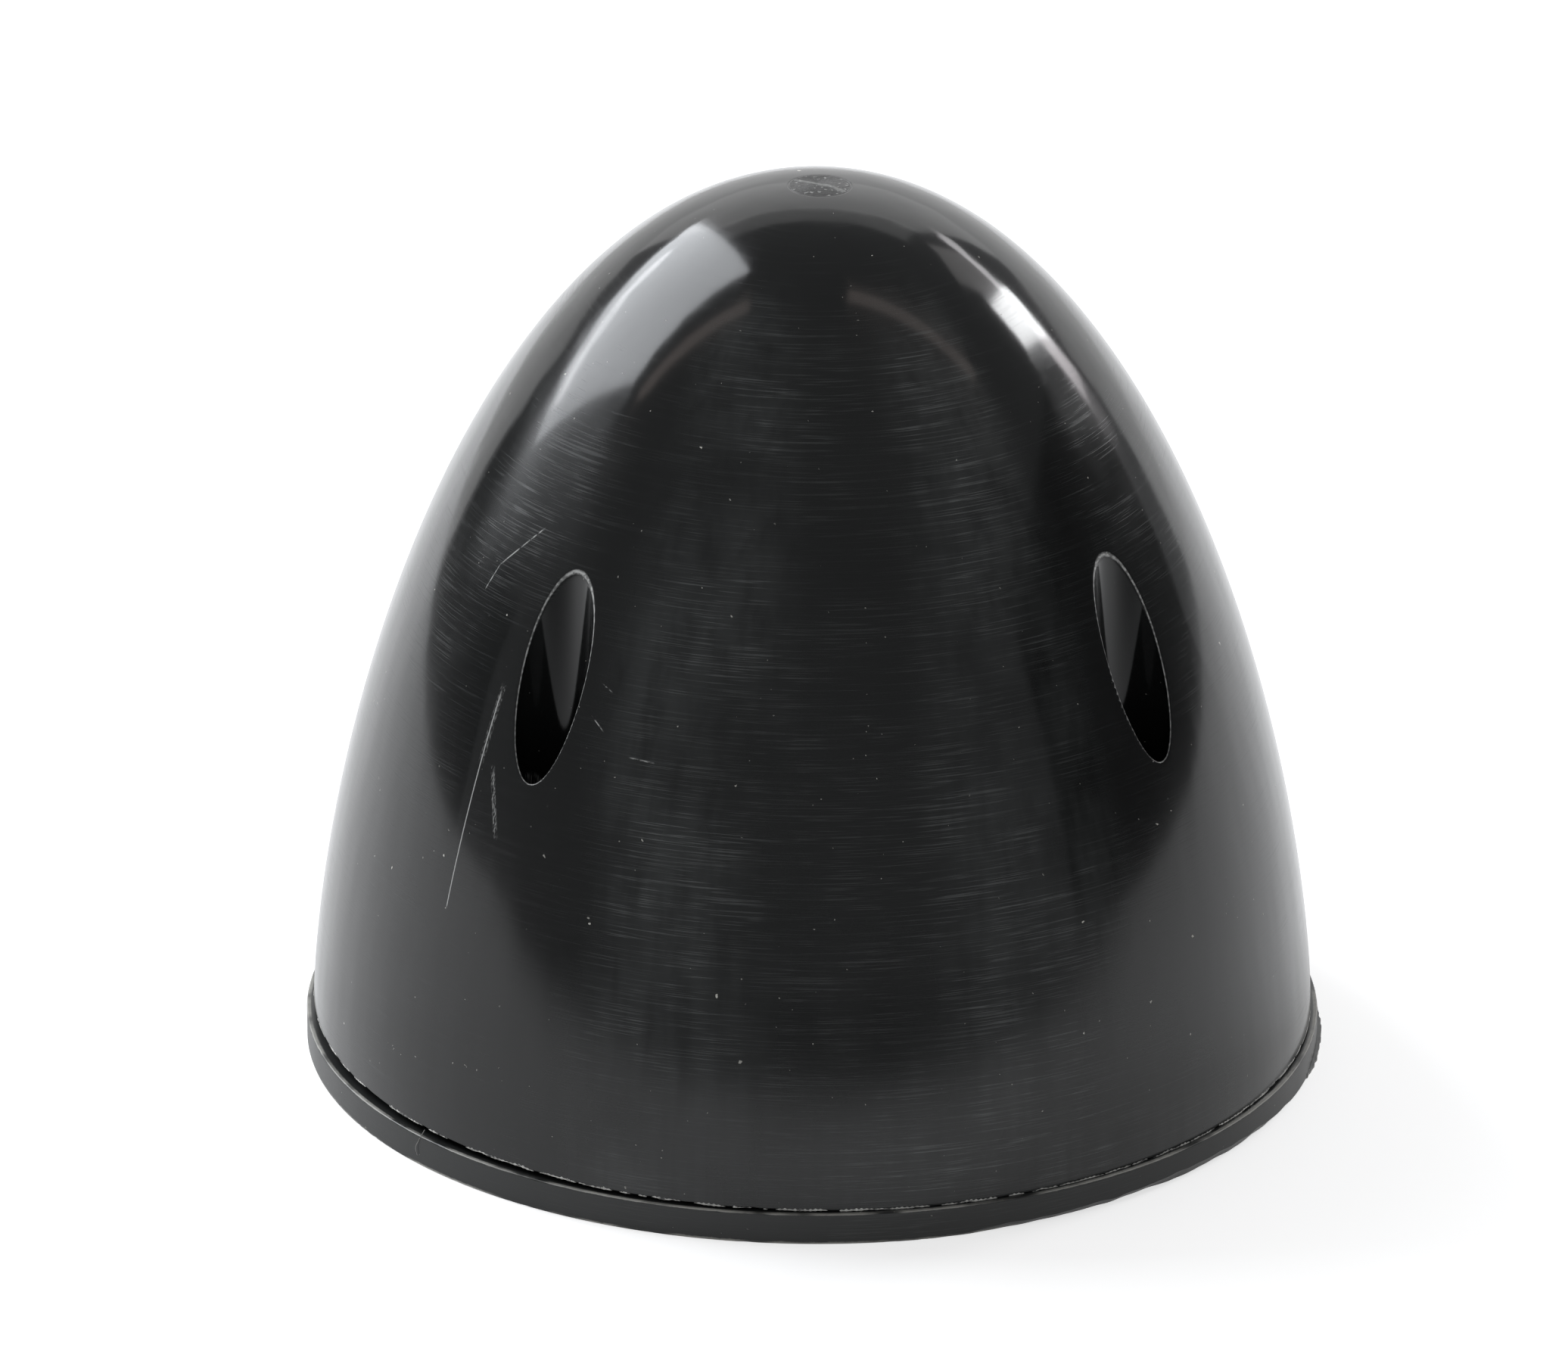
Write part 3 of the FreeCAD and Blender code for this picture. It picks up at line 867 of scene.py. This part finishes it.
def gloss_nylon(lines, dust, grain):
    """Polished black nylon with wiped hairlines, scratches, dust, pale worn well edges and painted
    reflections of the softboxes and floor in its colour.
    """
    made, g, shader = material("gloss_black_nylon")
    place = g.node("ShaderNodeTexCoord").outputs["Object"]
    line, haze, painted_sheen = use(g, lines)
    specks = use(g, dust)[0]
    fine, broad = use(g, grain)
    x, y, z = g.node("ShaderNodeSeparateXYZ", {0: place}).outputs
    reach = g.vector("LENGTH", g.vector("MULTIPLY", place, (1, 1, 0)))
    depth = below_skin(g, z, reach)
    skin = g.fade(depth, 0.12 * MM, 0.35 * MM)
    line, haze, painted_sheen = (g.times(mask, skin) for mask in (line, haze, painted_sheen))
    corner = well_centre(0)[0] * MM
    dx = g.less(g.size(x), corner)
    dy = g.less(g.size(y), corner)
    flat = g.node("ShaderNodeCombineXYZ", {0: dx, 1: dy}).outputs[0]
    away = g.less(g.vector("LENGTH", flat), WELL_RADIUS * MM)
    edge = g.most(away, depth)
    rag = g.times(g.noise(place, 2400, 3.0, 0.7), 0.05 * MM)
    worn = g.fade(g.plus(edge, rag), 0.08 * MM, 0.14 * MM)
    worn = g.times(worn, g.step(z, 0.012, 0.014))
    worn = g.times(worn, g.plus(g.times(g.step(g.noise(place, 3800, 2.0), 0.40, 0.60), 0.6), 0.4))
    fine_marks = [scratch(g, place, *mark) for mark in FINE_MARKS]
    scuffs = [scratch(g, place, *mark) for mark in SCUFFS]
    beads = g.step(g.noise(place, 2600, 2.0), 0.36, 0.56)
    cut = fine_marks[0]
    for mark in fine_marks[1:]:
        cut = g.most(cut, g.times(mark, beads))
    frayed = g.step(g.noise(g.vector("MULTIPLY", place, (1.0, 1.0, 0.07)), 12000, 2.0), 0.42, 0.66)
    cut = g.most(cut, g.times(g.most(g.times(scuffs[0], 0.35), g.times(scuffs[1], 0.6)), frayed))
    floor, rim, ridge = nose_recess(g, place, z)
    crumb = g.times(floor, g.step(g.noise(place, 3400, 2.0), 0.60, 0.70))
    pale = g.most(worn, g.times(cut, 0.8), g.times(ridge, 0.30), g.times(crumb, 0.55))
    black = g.mix(broad, (0.0048, 0.0052, 0.0051, 1), (0.0078, 0.0083, 0.0082, 1))
    # painted reflection: the painted sheen lightens the black towards grey; the haze patches and
    # the surfaces inside the outline are dulled too
    dull_and_sheen = g.plus(g.times(painted_sheen, 0.60), g.times(haze, 0.10), g.times(g.rest(skin), 0.11))
    color = g.mix(dull_and_sheen, black, (0.073, 0.077, 0.076, 1))
    # hairlines are drawn paler where the painted sheen lies
    lit_line = g.times(line, g.plus(g.times(painted_sheen, 0.9), 0.30))
    color = g.mix(lit_line, color, (0.205, 0.214, 0.211, 1))
    color = g.mix(pale, color, (0.72, 0.72, 0.70, 1))
    color = g.mix(specks, color, (0.85, 0.83, 0.76, 1))
    g.put(color, shader.inputs["Base Color"])
    scattered = g.plus(g.times(haze, 0.45), g.times(line, 0.55))
    scattered = g.most(scattered, g.times(floor, 0.8))
    rough = g.plus(0.10, g.times(scattered, 0.42))
    g.put(rough, shader.inputs["Roughness"])
    shader.inputs["IOR"].default_value = NYLON_IOR
    shader.inputs["Specular IOR Level"].default_value = 0.24
    shader.inputs["Anisotropic"].default_value = 0.9
    shader.inputs["Anisotropic Rotation"].default_value = 0.25
    tangent = g.node("ShaderNodeTangent", direction_type="RADIAL", axis="Z")
    g.put(tangent.outputs[0], shader.inputs["Tangent"])
    shader.inputs["Coat IOR"].default_value = NYLON_IOR
    shader.inputs["Coat Roughness"].default_value = 0.10
    cover = g.most(g.times(line, 0.4), specks, pale)
    g.put(g.less(0.52, g.times(cover, 0.42)), shader.inputs["Coat Weight"])
    height = g.plus(g.times(fine, 0.0006), g.times(broad, 0.07))
    height = g.less(height, g.times(line, 0.005))
    height = g.less(height, g.times(cut, 0.02))
    height = g.plus(height, g.times(specks, 0.03))
    rough_floor = g.times(g.noise(place, 1900, 4.0, 0.7), 0.30)
    height = g.less(height, g.times(floor, g.plus(rough_floor, 0.10)))
    height = g.plus(height, g.times(ridge, 0.10))
    height = g.less(height, g.times(rim, 0.16))
    bump(g, shader, height, 1.0 * MM)
    return made


def satin_nylon(lines, dust, grain):
    """Duller black nylon with pale wear along the rim's two edges."""
    made, g, shader = material("satin_black_nylon")
    place = g.node("ShaderNodeTexCoord").outputs["Object"]
    line = use(g, lines)[0]
    specks = use(g, dust)[0]
    fine, broad = use(g, grain)
    z = g.node("ShaderNodeSeparateXYZ", {0: place}).outputs[2]
    reach = g.vector("LENGTH", g.vector("MULTIPLY", place, (1, 1, 0)))
    rag = g.times(g.noise(place, 1300, 3.0, 0.7), 0.26 * MM)
    top = g.size(g.less(z, (RIM_TOP - 0.02) * MM))
    foot = g.size(g.less(z, 0.07 * MM))
    outside = g.step(reach, (RIM_RADIUS - 0.35) * MM, (RIM_RADIUS - 0.2) * MM)
    near = g.least(g.times(top, 2.2), foot)
    worn = g.fade(near, 0.0, rag)
    worn = g.times(worn, outside, g.step(g.noise(place, 200, 3.0), 0.38, 0.56))
    black = g.mix(broad, (0.021, 0.0225, 0.022, 1), (0.031, 0.0325, 0.032, 1))
    color = g.mix(g.times(line, 0.35), black, (0.14, 0.145, 0.14, 1))
    color = g.mix(worn, color, (0.55, 0.54, 0.50, 1))
    color = g.mix(specks, color, (0.55, 0.53, 0.48, 1))
    g.put(color, shader.inputs["Base Color"])
    rough = g.plus(0.26, g.times(broad, 0.12))
    rough = g.most(rough, g.times(g.most(specks, worn), 0.6))
    g.put(rough, shader.inputs["Roughness"])
    shader.inputs["IOR"].default_value = NYLON_IOR
    height = g.less(g.times(fine, 0.0035), g.times(line, 0.004))
    height = g.plus(height, g.times(specks, 0.03))
    bump(g, shader, height, 1.0 * MM)
    return made


def burr_nylon(grain):
    made, g, shader = material("scuffed_burr")
    place = g.node("ShaderNodeTexCoord").outputs["Object"]
    fine = use(g, grain)[0]
    tone = g.step(g.noise(place, 1700, 3.0), 0.30, 0.56)
    g.put(g.mix(tone, (0.10, 0.10, 0.10, 1), (0.90, 0.89, 0.84, 1)), shader.inputs["Base Color"])
    g.put(g.plus(0.3, g.times(fine, 0.2)), shader.inputs["Roughness"])
    bump(g, shader, fine, 0.04 * MM)
    return made


def plated_steel(lines, grain):
    made, g, shader = material("plated_steel")
    line = use(g, lines)[0]
    fine, broad = use(g, grain)
    g.put(g.mix(broad, (0.42, 0.41, 0.38, 1), (0.60, 0.59, 0.56, 1)), shader.inputs["Base Color"])
    shader.inputs["Metallic"].default_value = 1.0
    g.put(g.plus(0.24, g.times(line, 0.2)), shader.inputs["Roughness"])
    bump(g, shader, fine, 0.006 * MM)
    return made


def fibre_material(grain):
    made, g, shader = material("grey_fibre")
    fine = use(g, grain)[0]
    g.put(g.mix(fine, (0.35, 0.34, 0.32, 1), (0.60, 0.59, 0.56, 1)), shader.inputs["Base Color"])
    shader.inputs["Roughness"].default_value = 0.5
    return made


FLOOR_LIFT = 0.66       # glow of the paper in direct view
FLOOR_GLINT = 0.31      # glow of the paper in reflections
FLOOR_Z = -0.00002
STUDIO_TURN = math.radians(-5.98)


def studio(x, y, z):
    """A point or direction in the turned studio."""
    c, s = math.cos(STUDIO_TURN), math.sin(STUDIO_TURN)
    return Vector((c * x - s * y, s * x + c * y, z))


def white_paper():
    """Matt white paper that shows white to the camera and keeps its soft shadow, with painted shade
    darkening its colour towards the front.
    """
    made, g, shader = material("white_paper")
    place = g.node("ShaderNodeTexCoord").outputs["Object"]
    paper = g.mix(g.noise(place, 900, 3.0), (0.79, 0.79, 0.79, 1), (0.82, 0.82, 0.82, 1))
    away = g.vector("DOT_PRODUCT", place, tuple(studio(0, -1, 0)))
    # painted shade: the paper's colour darkens towards the front, out of view, so the floor seen in
    # the part's reflections is darker there
    painted_front_shade = g.step(away, 0.048, 0.13)
    g.put(g.mix(painted_front_shade, paper, (0.22, 0.22, 0.22, 1)), shader.inputs["Base Color"])
    shader.inputs["Roughness"].default_value = 0.9
    shader.inputs["Specular IOR Level"].default_value = 0.0
    path = g.node("ShaderNodeLightPath").outputs
    seen = g.plus(g.times(painted_front_shade, 1.0 - FLOOR_LIFT), FLOOR_LIFT)
    glint = g.times(g.rest(painted_front_shade), FLOOR_GLINT)
    lift = g.plus(g.times(path["Is Camera Ray"], seen), g.times(path["Is Glossy Ray"], glint))
    shader.inputs["Emission Color"].default_value = (1, 1, 1, 1)
    g.put(lift, shader.inputs["Emission Strength"])
    return made


# painted shade: a dark card that stands in for the unlit sides of the room seen in the part's
# reflections
def shade_card():
    made, g, shader = material("shade_card")
    place = g.node("ShaderNodeTexCoord").outputs["Object"]
    black = g.mix(g.noise(place, 12, 3.0), (0.10, 0.10, 0.10, 1), (0.18, 0.18, 0.18, 1))
    g.put(black, shader.inputs["Base Color"])
    shader.inputs["Roughness"].default_value = 0.9
    return made


# ---- studio ------------------------------------------------------------------------------------
def toward(azimuth, elevation, distance):
    """A point in the studio: azimuth 0 lies behind the object and 90 to its right."""
    a, e = math.radians(azimuth), math.radians(elevation)
    return studio(distance * math.sin(a) * math.cos(e), distance * math.cos(a) * math.cos(e),
                  distance * math.sin(e))


def panel(name, place, normal, up, width, height, radiance, color):
    """A soft light panel of the given brightness that faces along normal."""
    light = bpy.data.lights.new(name, "AREA")
    light.shape = "RECTANGLE"
    light.size, light.size_y = width, height
    light.energy = radiance * math.pi * width * height
    light.color = color
    obj = place_object(name, light)
    back = -normal.normalized()
    side = up.cross(back).normalized()
    top = back.cross(side)
    obj.matrix_world = Matrix.Translation(place) @ Matrix((side, top, back)).transposed().to_4x4()


def lamp(name, spot, up, width, height, radiance, color):
    """A panel that faces the object from a spot given as azimuth, elevation and distance."""
    place = toward(*spot)
    panel(name, place, -place, studio(*up), width, height, radiance, color)


def sheet(name, corners, finish):
    mesh = bpy.data.meshes.new(name)
    mesh.from_pydata([tuple(c) for c in corners], [], [(0, 1, 2, 3)])
    mesh.materials.append(finish)
    return place_object(name, mesh)


def card(name, azimuth, elevation, distance, width, height, finish):
    """A card that faces the object."""
    centre = toward(azimuth, elevation, distance)
    side = Vector((0, 0, 1)).cross(centre).normalized()
    up = centre.normalized().cross(side)
    corners = [centre + side * (x * width / 2) + up * (y * height / 2)
               for x, y in ((-1, -1), (1, -1), (1, 1), (-1, 1))]
    obj = sheet(name, corners, finish)


def make_studio():
    world = bpy.data.worlds.new("pale_room")
    bpy.context.scene.world = world
    world.use_nodes = True
    g = Graph(world.node_tree)
    seen = g.node("ShaderNodeLightPath").outputs["Is Camera Ray"]
    background = world.node_tree.nodes["Background"]
    g.put(g.mix(seen, (0.235, 0.24, 0.245, 1), (1, 1, 1, 1)), background.inputs[0])
    up = Vector((0, 0, 1))
    panel("left_softbox", studio(-0.6733, 0.384, 0.609) * 1.3, studio(0.2077, -0.743, -0.6363),
          studio(0.9781, 0.1499, 0.1442), 0.857, 0.962, 5.4, (0.93, 0.96, 1.0))
    lamp("left_softbox_edge", (-49, 26, 1.3), (0.375, 0.26, 0.25), 0.05, 0.60, 4.5,
         (0.97, 0.97, 1.0))
    lamp("right_lamp", (51, 27.3, 1.5), (0.26, -0.78, 0.55), 0.21, 0.42, 12.0, (0.98, 0.99, 1.0))
    lamp("right_lamp_foot", (50.2, 18.5, 1.5), up, 0.14, 0.24, 4.0, (1.0, 0.94, 0.97))
    lamp("right_lamp_wing", (39.0, 30, 1.5), (-0.80, 0.43, 0.43), 0.08, 0.45, 3.4, (1.0, 0.98, 1.0))
    lamp("right_lamp_glow", (44, 36, 1.55), up, 0.34, 0.34, 0.75, (1.0, 0.97, 0.97))
    ahead = studio(0, -1, 0)
    panel("rear_light_low", studio(0, 1.2, 0.17), ahead, up, 2.4, 0.50, 0.55, (1, 1, 1))
    panel("rear_light_high", studio(0, 1.2, 0.79), ahead, up, 1.35, 0.74, 0.80, (1, 1, 1))
    lamp("rear_light_top", (0, 48.6, 1.4), up, 1.10, 0.25, 0.42, (1, 1, 1))
    for name, x in (("overhead_strip_right", 0.55), ("overhead_strip_left", -0.72)):
        panel(name, studio(x, 0, 0.9), studio(0, 0, -1), studio(0, 1, 0), 0.80, 0.07, 1.1,
              (1.0, 0.85, 0.79))
    # painted shade: dark cards that darken the sides of the room in the part's reflections
    black = shade_card()
    card("shade_card_left", -66, 3.5, 1.3, 0.90, 0.38, black)
    card("shade_card_right", 86, 12, 1.3, 1.55, 0.72, black)
    corners = [studio(x, y, FLOOR_Z)
               for x, y in ((-0.36, -0.45), (0.36, -0.45), (0.36, 0.9), (-0.36, 0.9))]
    floor = sheet("paper_floor", corners, white_paper())


# The camera's height above the part and its pitch, yaw and roll, in degrees.
CAMERA_ANGLES = (24.451, 22.447, -0.184, 0.239)
CAMERA_DISTANCE = 0.7
LENS = 231.34


def make_camera():
    elevation, pitch, yaw, roll = (math.radians(v) for v in CAMERA_ANGLES)
    ahead = Vector((math.sin(yaw) * math.cos(pitch), math.cos(yaw) * math.cos(pitch),
                    -math.sin(pitch)))
    level = Vector((math.cos(yaw), -math.sin(yaw), 0))
    above = level.cross(ahead)
    right = math.cos(roll) * level + math.sin(roll) * above
    up = -math.sin(roll) * level + math.cos(roll) * above
    data = bpy.data.cameras.new("camera")
    data.sensor_width = 36.0
    data.lens = LENS
    data.clip_start, data.clip_end = 0.01, 20.0
    camera = place_object("camera", data)
    place = studio(0, -CAMERA_DISTANCE * math.cos(elevation), CAMERA_DISTANCE * math.sin(elevation))
    axes = Matrix((studio(*right), studio(*up), studio(*(-ahead)))).transposed()
    camera.matrix_world = Matrix.Translation(place) @ axes.to_4x4()
    bpy.context.scene.camera = camera


def main():
    bpy.context.scene.view_settings.view_transform = "Standard"
    lines, dust, grain = wiped_lines_group(), dust_group(), grain_group()
    gloss = gloss_nylon(lines, dust, grain)
    satin = satin_nylon(lines, dust, grain)
    make_cone(gloss)
    make_backplate(satin)
    make_burrs(burr_nylon(grain))
    make_fibre(fibre_material(grain))
    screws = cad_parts["cone_screws"]
    screws.data.materials.clear()
    screws.data.materials.append(plated_steel(lines, grain))
    make_studio()
    make_camera()


main()
